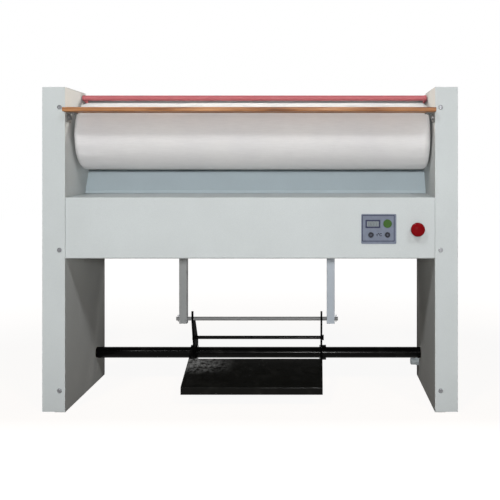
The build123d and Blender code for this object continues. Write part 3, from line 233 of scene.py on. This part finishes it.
def cotton_cloth():
    """Plain-woven cotton on the roller: threads along X and round the roller, faint stains and slubs."""
    sheen = {"Sheen_Weight": 0.12, "Sheen_Roughness": 0.6}
    look = Look("cotton_cloth", Roughness=0.92, Specular_IOR_Level=0.15, **sheen)
    split = look.add("ShaderNodeSeparateXYZ", {0: look.place})
    across = look.math("SUBTRACT", split.outputs[1], ROLLER.y)
    up = look.math("SUBTRACT", split.outputs[2], ROLLER.z)
    arc = look.math("MULTIPLY", look.math("ARCTAN2", up, across), ROLLER_RADIUS)
    thread = 2 * math.pi / CLOTH_THREAD
    warp = look.math("SINE", look.math("MULTIPLY", split.outputs[0], thread))
    weft = look.math("SINE", look.math("MULTIPLY", arc, thread))
    weave = look.math("MULTIPLY", look.math("MULTIPLY", warp, weft), 0.5)
    stains = look.ramp(look.noise(7.0, 4.0), (0.35, (0.785, 0.78, 0.79)), (0.65, (0.83, 0.825, 0.825)))
    slubs = look.ramp(look.noise(30.0, 4.0, look.stretched((1.0, 14.0, 14.0))), (0.35, 0.96), (0.6, 1.0))
    threads = look.ramp(look.math("ADD", weave, 0.5), (0.0, 0.92), (1.0, 1.0))
    worn = look.mix(1.0, stains, slubs, "MULTIPLY")
    look.set("Base Color", look.mix(1.0, worn, threads, "MULTIPLY"))
    look.bump(weave, 0.00022, 0.7)
    look.bump(look.noise(22.0, 3.0), 0.0012, 0.05)
    return look.material


def fibre(name, light, dark, scale):
    """Felt or mineral wool: matted fibres with darker pits."""
    look = Look(name, Roughness=0.97, Specular_IOR_Level=0.1, Sheen_Weight=0.2)
    mat = look.noise(scale, 8.0, rough=0.7)
    look.set("Base Color", look.ramp(mat, (0.35, dark), (0.62, light)))
    look.bump(mat, 0.0025, 0.8)
    look.bump(look.noise(scale * 9, 4.0), 0.0005, 0.6)
    return look.material


def circuit_board():
    """Green lacquer with copper tracks showing through."""
    look = Look("circuit_board", Roughness=0.3)
    tracks = look.ramp(look.cells(160.0, look.stretched((1.0, 1.0, 2.4))), (0.28, 0.0), (0.32, 1.0))
    look.set("Base Color", look.mix(tracks, (0.10, 0.34, 0.14), (0.015, 0.12, 0.05)))
    look.bump(tracks, 0.0001, 0.8)
    return look.material


GREY = powder_coat("grey_powder_coat", (0.585, 0.625, 0.63))
BLACK = (0.0022, 0.0021, 0.0022)
BLACK_WORN = (0.009, 0.0085, 0.008)
LOOKS = {
    "grey_paint": GREY,
    "zinc": metal("zinc_plate", (0.36, 0.365, 0.38), 0.36),
    "steel": metal("turned_steel", (0.42, 0.42, 0.43), 0.38, (1.0, 8.0, 8.0), 0.7),
    "wood": oiled_wood(),
    "cotton": cotton_cloth(),
    "felt": fibre("wool_felt", (0.62, 0.60, 0.53), (0.36, 0.34, 0.29), 90.0),
    "mineral_wool": fibre("mineral_wool", (0.47, 0.42, 0.26), (0.20, 0.17, 0.09), 60.0),
    "shoe_metal": metal("polished_shoe", (0.72, 0.73, 0.75), 0.22, (1.0, 12.0, 12.0)),
    "red_paint": gloss_paint("red_gloss", (0.51, 0.145, 0.162), 0.42, (0.54, 0.17, 0.187), 0.4),
    "black_paint": gloss_paint("black_gloss", BLACK, 0.12, BLACK_WORN, 1.0, 1.14),
    "bar_paint": powder_coat("bar_paint", (0.65, 0.72, 0.80), 0.45, 0.1),
    "rod_steel": powder_coat("drawn_rod", (0.34, 0.345, 0.35), 0.45, 0.1),
    "keypad": plastic("key_film", (0.165, 0.19, 0.25), 0.5, 0.00003, 0.2),
    "window": plastic("liquid_crystal", (0.187, 0.218, 0.24), 0.3, 0.00001, 0.2),
    "green_plastic": plastic("green_key", (0.038, 0.10, 0.015), 0.5, 0.00005, 0.15),
    "black_plastic": plastic("black_plastic", (0.004, 0.006, 0.014), 0.32, 0.00005, 0.15),
    "red_plastic": plastic("red_plastic", (0.212, 0.0006, 0.003), 0.08, 0.00001, 0.05),
    "light_plastic": plastic("light_plastic", (0.45, 0.50, 0.52), 0.45),
    "board": circuit_board(),
    "nylon": plastic("nylon", (0.62, 0.60, 0.53), 0.5),
    "rubber": plastic("belt_rubber", (0.02, 0.02, 0.021), 0.75, 0.0002, 0.3),
    "cast_grey": powder_coat("cast_grey", (0.13, 0.15, 0.18), 0.5, 0.2),
}


def dress(obj, slot):
    """Gives an object the finish of a material slot."""
    obj.data.materials.clear()
    obj.data.materials.append(LOOKS[slot])


for part in frame["record"]["subparts"]:
    dress(NODES[part["node"]], part["material_slot"])
LOOKS.update({
    # Painted shade: the chute takes a darker, bluer copy of the grey powder coat for the cool shade on it.
    "chute_shaded_paint": powder_coat("chute_shaded_powder_coat", (0.535, 0.62, 0.66)),
    # Painted light: the inner side frames take a lighter copy of the grey powder coat, with no specular,
    # tuned to how light falls on them.
    "inner_lightened_paint": powder_coat("inner_lightened_powder_coat", (0.69, 0.71, 0.70), specular=0.0),
    # Painted shade: the rail brackets take a dark grey coat for the board's shadow on them.
    "bracket_shaded_paint": powder_coat("bracket_shaded_paint", (0.24, 0.24, 0.23), 0.6),
    "screw_metal": metal("screw_metal", (0.22, 0.225, 0.235), 0.3),
    # Painted shade: the left press bar takes a darker copy of the bar paint for the shade on it.
    "bar_left_shaded_paint": powder_coat("bar_left_shaded_paint", (0.41, 0.425, 0.43), 0.45, 0.1),
    "lever_paint": gloss_paint("lever_black", BLACK, 0.4, BLACK_WORN, 1.0, 1.02),
    # The pedal plate's black paint carries light blotches: partly scuffs, partly a painted reflection.
    "plate_paint": gloss_paint(
        "plate_black", (0.006, 0.006, 0.0052), 0.12, (0.014, 0.0135, 0.012), 1.0, 1.14, with_scuffs_and_reflection=True
    ),
    "frame_ink": plastic("frame_ink", (0.036, 0.04, 0.08), 0.5, 0.00003, 0.1),
    "legend_ink": plastic("legend_ink", (0.006, 0.007, 0.016), 0.5, 0.00003, 0.1),
    "key_mark": plastic("key_mark", (0.11, 0.12, 0.17), 0.45, 0.00003, 0.2),
    "segments": plastic("segments", (0.085, 0.105, 0.10), 0.3, 0.00001, 0.2),
})
for node, look_name in (
    ("delivery_chute", "chute_shaded_paint"),
    ("side_frame_left", "inner_lightened_paint"),
    ("side_frame_right", "inner_lightened_paint"),
    ("rail_brackets", "bracket_shaded_paint"),
    ("rail_screws", "screw_metal"),
    ("cover_screws", "screw_metal"),
    ("press_bar_left", "bar_left_shaded_paint"),
    ("pedal_lever_left", "lever_paint"),
    ("pedal_lever_right", "lever_paint"),
    ("pedal_plate", "plate_paint"),
):
    dress(NODES[node], look_name)


# ---------------------------------------------------------------- meshes
def piece(name, mesh_data, slot, body, replaced=(), smooth=30.0):
    """An object from (points, faces) that rides on a body."""
    mesh = bpy.data.meshes.new(name)
    mesh.from_pydata([tuple(p) for p in mesh_data[0]], [], mesh_data[1])
    mesh.validate()
    work = bmesh.new()
    work.from_mesh(mesh)
    bmesh.ops.recalc_face_normals(work, faces=work.faces)
    work.to_mesh(mesh)
    work.free()
    mesh.shade_smooth()
    if smooth:
        mesh.set_sharp_from_angle(angle=math.radians(smooth))
    obj = bpy.data.objects.new(name, mesh)
    bpy.context.scene.collection.objects.link(obj)
    dress(obj, slot)
    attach(obj, body)
    if replaced:
        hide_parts(*replaced)
    return obj


def lathe(profile, turns, place):
    """Turns a closed profile of (along, radius) into a mesh; place gives the point for an angle."""
    points, faces, count = [], [], len(profile)
    for step in range(turns):
        angle = 2 * math.pi * step / turns
        points += [place(along, radius, angle) for along, radius in profile]
    for step in range(turns):
        for i in range(count):
            j, following = (i + 1) % count, (step + 1) % turns
            here, there = step * count, following * count
            faces.append((here + i, here + j, there + j, there + i))
    return points, faces


def rounded(corner, radius, start, end, steps):
    """Points of an arc about a corner's centre, from one angle to another in degrees."""
    angles = [math.radians(start + (end - start) * i / steps) for i in range(steps + 1)]
    return [(corner[0] + radius * math.cos(a), corner[1] + radius * math.sin(a)) for a in angles]


def frame_ring(x, z, width, height, line, corner, y_front, y_back):
    """A thin rectangular ring with rounded corners, facing the front."""
    def loop(half_width, half_height, radius, y):
        points = []
        for i, j, start in ((1, 1, 0), (-1, 1, 90), (-1, -1, 180), (1, -1, 270)):
            centre = (x + i * (half_width - radius), z + j * (half_height - radius))
            points += [(px, y, pz) for px, pz in rounded(centre, radius, start, start + 90, 5)]
        return points

    outer = (width / 2, height / 2, corner)
    inner = (width / 2 - line, height / 2 - line, corner * 0.6)
    loops = [loop(*outer, y_back), loop(*outer, y_front), loop(*inner, y_front), loop(*inner, y_back)]
    count = len(loops[0])
    faces = []
    for a in range(4):
        b = (a + 1) % 4
        for i in range(count):
            j = (i + 1) % count
            faces.append((a * count + i, a * count + j, b * count + j, b * count + i))
    return [p for ring in loops for p in ring], faces


def bars(boxes):
    """Flat bars with chamfered fronts, each given as (x0, x1, z0, z1, y_front, y_back)."""
    points, faces = [], []
    for x0, x1, z0, z1, y_front, y_back in boxes:
        cut = min(x1 - x0, z1 - z0) * 0.18
        start = len(points)
        for inset, y in ((0, y_back), (0, (y_front + y_back) / 2), (cut, y_front)):
            points += [
                (x0 + inset, y, z0 + inset),
                (x1 - inset, y, z0 + inset),
                (x1 - inset, y, z1 - inset),
                (x0 + inset, y, z1 - inset),
            ]
        faces.append(tuple(start + i for i in (0, 1, 2, 3)))
        faces.append(tuple(start + i for i in (8, 9, 10, 11)))
        for level in (0, 4):
            for i in range(4):
                j = (i + 1) % 4
                faces.append(tuple(start + level + k for k in (i, j, j + 4, i + 4)))
    return points, faces


# ---------------------------------------------------------------- roller cloth and felt
CORNER = 0.017
HEM = 0.06
CLOTH = 0.0016
END_GATHERS = 34
LENGTH_STEPS = 150
TURN_STEPS = 180
FELT_GAP = 0.0022
FELT_CORNER = 0.013
FELT_INSIDE = 0.0882
FELT_FOLD = 0.082
DRUM_HALF = 0.5044


def cloth_profile():
    """The cloth's section from the left hem over the roller to the right hem, out and back."""
    def side(offset):
        radius, half = ROLLER_RADIUS - offset, ROLLER_HALF - offset
        corner = CORNER - offset
        rows = [(-half, HEM + (radius - corner - HEM) * i / 8) for i in range(8)]
        rows += rounded((-half + corner, radius - corner), corner, 180, 90, 9)
        span = 2 * (half - corner)
        rows += [(-half + corner + span * i / LENGTH_STEPS, radius) for i in range(1, LENGTH_STEPS)]
        rows += rounded((half - corner, radius - corner), corner, 90, 0, 9)
        rows += [(half, HEM + (radius - corner - HEM) * i / 8) for i in range(7, -1, -1)]
        return rows

    return side(0.0) + side(CLOTH)[::-1]


def cloth_place(along, radius, angle):
    """A point of the cloth, with soft padding, gathers on the end faces and a few creases."""
    around = Vector((along * 4.0, math.cos(angle) * 1.6, math.sin(angle) * 1.6))
    soft = noise.noise(around) * 0.0007 + noise.noise(around * 3.7) * 0.00025
    face = max(0.0, min(1.0, (ROLLER_RADIUS - CORNER * 0.6 - radius) / 0.02))
    fold = math.sin(END_GATHERS * angle + 2.0 * noise.noise(around * 2.0)) * 0.0009 * face
    near_end = math.exp(-((ROLLER_HALF - abs(along)) / 0.05) ** 2)
    gather = math.sin(END_GATHERS / 2 * angle + 3 * noise.noise(around)) * 0.0005 * near_end * (1 - face)
    front = math.cos(angle - math.radians(170))
    crease = math.exp(-((along - 0.462 - 0.06 * front) / 0.012) ** 2) * max(0.0, front) * 0.0007
    seam_angle = abs((angle - math.radians(300) + math.pi) % (2 * math.pi) - math.pi)
    seam = 0.0009 * max(0.0, 1 - seam_angle / 0.022) * (1 - face)
    r = radius + (soft + gather - crease) * (1 - face) + seam
    x = along + math.copysign(fold + 0.0008 * face, along)
    return ROLLER + Vector((x, r * math.cos(angle), r * math.sin(angle)))


cloth_mesh = lathe(cloth_profile(), TURN_STEPS, cloth_place)
roller_cloth = piece("roller_cloth", cloth_mesh, "cotton", "roller", ["roller_cover"], 50.0)


def felt_profile():
    """The felt blanket under the cloth, with its ends folded down over the drum's ends."""
    half, radius = ROLLER_HALF - FELT_GAP, ROLLER_RADIUS - FELT_GAP
    outer = rounded((-half + FELT_CORNER, radius - FELT_CORNER), FELT_CORNER, 180, 90, 5)
    outer += rounded((half - FELT_CORNER, radius - FELT_CORNER), FELT_CORNER, 90, 0, 5)
    right = [(half, FELT_FOLD), (DRUM_HALF, FELT_FOLD), (DRUM_HALF, FELT_INSIDE)]
    left = [(-DRUM_HALF, FELT_INSIDE), (-DRUM_HALF, FELT_FOLD)]
    return [(-half, FELT_FOLD), *outer, *right, *left]


def felt_place(along, radius, angle):
    """A point of the felt, with its ends slightly lumpy inwards."""
    lumps = noise.noise(Vector((along * 30, math.cos(angle) * 4, math.sin(angle) * 4))) * 0.0003
    x = along - math.copysign(abs(lumps), along)
    return ROLLER + Vector((x, radius * math.cos(angle), radius * math.sin(angle)))


felt_mesh = lathe(felt_profile(), 96, felt_place)
roller_felt = piece("roller_felt", felt_mesh, "felt", "roller", ["roller_padding"])


# ---------------------------------------------------------------- wool behind the shoe
def wool_blanket():
    """The shoe's insulation as matted wool: the CAD solid remeshed, rounded and roughened inwards."""
    obj = bpy.data.objects.new("shoe_wool", NODES["shoe_insulation"].data.copy())
    bpy.context.scene.collection.objects.link(obj)
    remesh = obj.modifiers.new("remesh", "REMESH")
    remesh.mode = "VOXEL"
    remesh.voxel_size = 0.006
    smooth = obj.modifiers.new("smooth", "SMOOTH")
    smooth.factor, smooth.iterations = 0.6, 4
    depsgraph = bpy.context.evaluated_depsgraph_get()
    made = bpy.data.meshes.new_from_object(obj.evaluated_get(depsgraph))
    obj.modifiers.clear()
    obj.data = made
    for vertex in made.vertices:
        tufts = noise.noise(vertex.co * 45.0) * 0.5 + 0.5
        vertex.co -= vertex.normal * (0.0004 + 0.0022 * tufts)
    made.shade_smooth()
    dress(obj, "mineral_wool")
    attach(obj, "shoe")
    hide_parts("shoe_insulation")


wool_blanket()


# ---------------------------------------------------------------- control panel
PRINT = 0.00025
BOLDER = 0.00035
KEY_FRONT = PANEL_FACE - 0.002
MARK = 0.00025
ring = frame_ring(0.3656, 0.5249, 0.0932, 0.0754, 0.0022, 0.002, PANEL_FACE - PRINT, PANEL_FACE)


def marked(name, mesh_data, slot, look, body):
    """A printed or moulded mark: it takes its slot's finish for the row and its own ink here."""
    obj = piece(name, mesh_data, slot, body)
    dress(obj, look)
    return obj


marked("panel_frame_line", ring, "keypad", "frame_ink", "frame")
bezel = frame_ring(*WINDOW, 0.0424, 0.0234, 0.0042, 0.0012, PANEL_FACE - 0.0006, PANEL_FACE + 0.0003)
marked("display_bezel", bezel, "keypad", "frame_ink", "frame")


def digit_bars(x, z, width, height, y):
    """The seven bars of one figure of the display."""
    thick = width * 0.17
    half = height / 2
    boxes = []
    for level in (z, z + half, z + height):
        boxes.append((x + thick, x + width - thick, level - thick / 2, level + thick / 2))
    for left in (x, x + width - thick):
        for base in (z, z + half):
            boxes.append((left, left + thick, base + thick / 2, base + half - thick / 2))
    return [(*box, y, y + 0.0001) for box in boxes]


segments = []
for place in range(3):
    segments += digit_bars(0.3375 + place * 0.0088, 0.5318, 0.0066, 0.0108, PANEL_FACE + 0.0002)
marked("display_segments", bars(segments), "window", "segments", "frame")


def lettering(name, text, size, x, z, y, look):
    """Raised print of a generic sign, as a mesh."""
    curve = bpy.data.curves.new(name, "FONT")
    curve.body, curve.size = text, size
    curve.extrude, curve.offset = PRINT / 2, BOLDER
    curve.align_x, curve.align_y = "CENTER", "CENTER"
    holder = bpy.data.objects.new(name + "_curve", curve)
    bpy.context.scene.collection.objects.link(holder)
    depsgraph = bpy.context.evaluated_depsgraph_get()
    mesh = bpy.data.meshes.new_from_object(holder.evaluated_get(depsgraph))
    bpy.data.objects.remove(holder)
    points = [(v.co.x + x, y - v.co.z, v.co.y + z) for v in mesh.vertices]
    return marked(name, (points, [tuple(f.vertices) for f in mesh.polygons]), "keypad", look, "frame")


lettering("legend_unit", "t°C", 0.0108, 0.3682, 0.5062, PANEL_FACE - PRINT / 2, "legend_ink")

plus = [(0.3885, 0.3955, 0.5053, 0.5067), (0.3913, 0.3927, 0.5025, 0.5095)]
minus = [(0.3412, 0.3482, 0.5053, 0.5067)]
for name, boxes, body in (("plus_mark", plus, "plus_button"), ("minus_mark", minus, "minus_button")):
    deep = [(*box, KEY_FRONT - MARK, KEY_FRONT + MARK) for box in boxes]
    marked(name, bars(deep), "black_plastic", "key_mark", body)


# ---------------------------------------------------------------- emergency stop head
FLUTES = 12
FLUTE_DEPTH = 0.0005
HEAD_LENGTH = 0.016


def knob_profile():
    """The mushroom head: a shallow dome, a round edge, a short skirt and a hollow behind."""
    dome = [(0.0003 + 0.0028 * (r / 0.0165) ** 2, r) for r in (0.0, 0.003, 0.006, 0.009, 0.012, 0.0145)]
    edge = rounded((0.0078, 0.0155), 0.0045, 150, 90, 6)
    edge = [(along, radius) for along, radius in edge if radius > 0.0150]
    skirt = [(0.0105, KNOB_RADIUS), (0.0125, KNOB_RADIUS - 0.0004), (0.0152, KNOB_RADIUS - 0.0022)]
    back = [(HEAD_LENGTH, 0.0165), (HEAD_LENGTH, 0.0105), (0.008, 0.0095), (0.008, 0.0056), (0.0078, 0.0)]
    return dome + edge + skirt + back


def knob_place(along, radius, angle):
    """A point of the head, with shallow grip flutes round its rim."""
    on_rim = 0.009 < along < 0.0145 and radius > 0.017
    flute = max(0.0, math.cos(FLUTES * angle)) ** 2 * FLUTE_DEPTH if on_rim else 0.0
    r = radius - flute
    y = HEAD_BACK - HEAD_LENGTH + along
    return Vector((STOP[0] + r * math.cos(angle), y, STOP[1] + r * math.sin(angle)))


knob_mesh = lathe(knob_profile(), 96, knob_place)
piece("stop_knob", knob_mesh, "red_plastic", "estop_head", ["estop_head"], 60.0)


# ---------------------------------------------------------------- floor, world, lamps, camera
FLOOR = 9.0
AMBIENT = 0.02
WHITE = (1.0, 1.0, 1.0)
WARM = (1.0, 0.94, 0.86)
CENTRE = (0, 0, 0.6)
floor_mesh = bpy.data.meshes.new("floor")
floor_corners = [(-FLOOR, -FLOOR, 0), (FLOOR, -FLOOR, 0), (FLOOR, FLOOR, 0), (-FLOOR, FLOOR, 0)]
floor_mesh.from_pydata(floor_corners, [], [(0, 1, 2, 3)])
floor = bpy.data.objects.new("floor", floor_mesh)
bpy.context.scene.collection.objects.link(floor)

stage = Look("floor_paper", Roughness=0.9, Specular_IOR_Level=0.0)
paper = stage.ramp(stage.noise(3.0), (0.3, 0.95), (0.7, 1.05))
depth = stage.add("ShaderNodeSeparateXYZ", {0: stage.place}).outputs[1]
behind = stage.math("ADD", depth, 1.0)
# Painted shade: the floor is dark brown beneath and behind the machine, where its shade falls, and light in
# front; this also dims the light bounced onto the inner legs.
floor_shade_tone = stage.ramp(behind, (0.35, (0.52, 0.50, 0.47)), (0.75, (0.11, 0.07, 0.035)))
stage.set("Base Color", stage.mix(1.0, floor_shade_tone, paper, "MULTIPLY"))
ray = stage.add("ShaderNodeLightPath").outputs
mirrored = stage.math("MAXIMUM", ray["Is Glossy Ray"], ray["Is Transmission Ray"])
seen = stage.math("MAXIMUM", ray["Is Camera Ray"], mirrored)
stage.bsdf.inputs["Emission Color"].default_value = (1, 1, 1, 1)
away = stage.add("ShaderNodeVectorMath", {0: stage.place}, operation="LENGTH").outputs["Value"]
glow = stage.ramp(stage.math("MULTIPLY", away, 0.25), (0.28, 0.93), (0.55, 1.0))
stage.set("Emission Strength", stage.math("MULTIPLY", seen, glow))
floor_mesh.materials.append(stage.material)

world = bpy.data.worlds.new("studio")
bpy.context.scene.world = world
world.use_nodes = True
tree = world.node_tree
background = tree.nodes["Background"]
coords = tree.nodes.new("ShaderNodeTexCoord")
split = tree.nodes.new("ShaderNodeSeparateXYZ")
tree.links.new(coords.outputs["Generated"], split.inputs[0])
sky = tree.nodes.new("ShaderNodeValToRGB")
sky.color_ramp.elements[0].position, sky.color_ramp.elements[0].color = 0.45, (1, 1, 1, 1)
sky.color_ramp.elements[1].position, sky.color_ramp.elements[1].color = 0.70, (0.30, 0.30, 0.31, 1)
tree.links.new(split.outputs[2], sky.inputs[0])
path = tree.nodes.new("ShaderNodeLightPath").outputs


def world_math(operation, first, second):
    """A sum in the world's node tree."""
    made = tree.nodes.new("ShaderNodeMath")
    made.operation = operation
    for index, value in enumerate((first, second)):
        if isinstance(value, bpy.types.NodeSocket):
            tree.links.new(value, made.inputs[index])
        else:
            made.inputs[index].default_value = value
    return made.outputs[0]


reflected = world_math("MAXIMUM", path["Is Glossy Ray"], path["Is Transmission Ray"])
shown = world_math("MAXIMUM", path["Is Camera Ray"], reflected)
hidden = world_math("SUBTRACT", 1.0, shown)
backdrop_mix = tree.nodes.new("ShaderNodeMix")
backdrop_mix.data_type = "RGBA"
tree.links.new(shown, backdrop_mix.inputs[0])
backdrop_mix.inputs[6].default_value = (1, 1, 1, 1)
tree.links.new(sky.outputs[0], backdrop_mix.inputs[7])
tree.links.new(backdrop_mix.outputs[2], background.inputs["Color"])
lighting = world_math("MULTIPLY", hidden, AMBIENT)
tree.links.new(world_math("ADD", lighting, shown), background.inputs["Strength"])


def lamp(name, place, target, size, power, colour, spread=180.0):
    """A square soft lamp that points at a target, with its beam's angle in degrees."""
    data = bpy.data.lights.new(name, "AREA")
    data.spread = math.radians(spread)
    data.shape, data.size, data.energy, data.color = "SQUARE", size, power, colour
    obj = bpy.data.objects.new(name, data)
    obj.location = place
    obj.rotation_euler = (Vector(target) - Vector(place)).to_track_quat("-Z", "Y").to_euler()
    bpy.context.scene.collection.objects.link(obj)


lamp("lamp_left", (-2.02, -4.65, 5.18), CENTRE, 0.9, 111.0, WHITE)
lamp("lamp_right", (2.62, -4.65, 5.18), CENTRE, 0.9, 91.0, WHITE)
lamp("flash", (0.19, -4.0, 1.0), CENTRE, 0.4, 80.0, WHITE)
lamp("lamp_back_left", (-1.5, 0.8, 1.9), (-0.4, 0, 1.4), 0.5, 4.9, WARM, 48.0)
lamp("lamp_back_right", (1.5, 0.8, 1.9), (0.4, 0, 1.4), 0.5, 4.5, WARM, 48.0)

camera_data = bpy.data.cameras.new("camera")
camera_data.sensor_width, camera_data.lens = 36.0, 56.87
camera_data.shift_x, camera_data.shift_y = -0.136, -0.1606
camera = bpy.data.objects.new("camera", camera_data)
camera.location = (0.19366, -2.4465, 0.692)
camera.rotation_euler = (math.radians(90), 0, 0)
bpy.context.scene.collection.objects.link(camera)
bpy.context.scene.camera = camera
bpy.context.scene.view_settings.view_transform = "Standard"
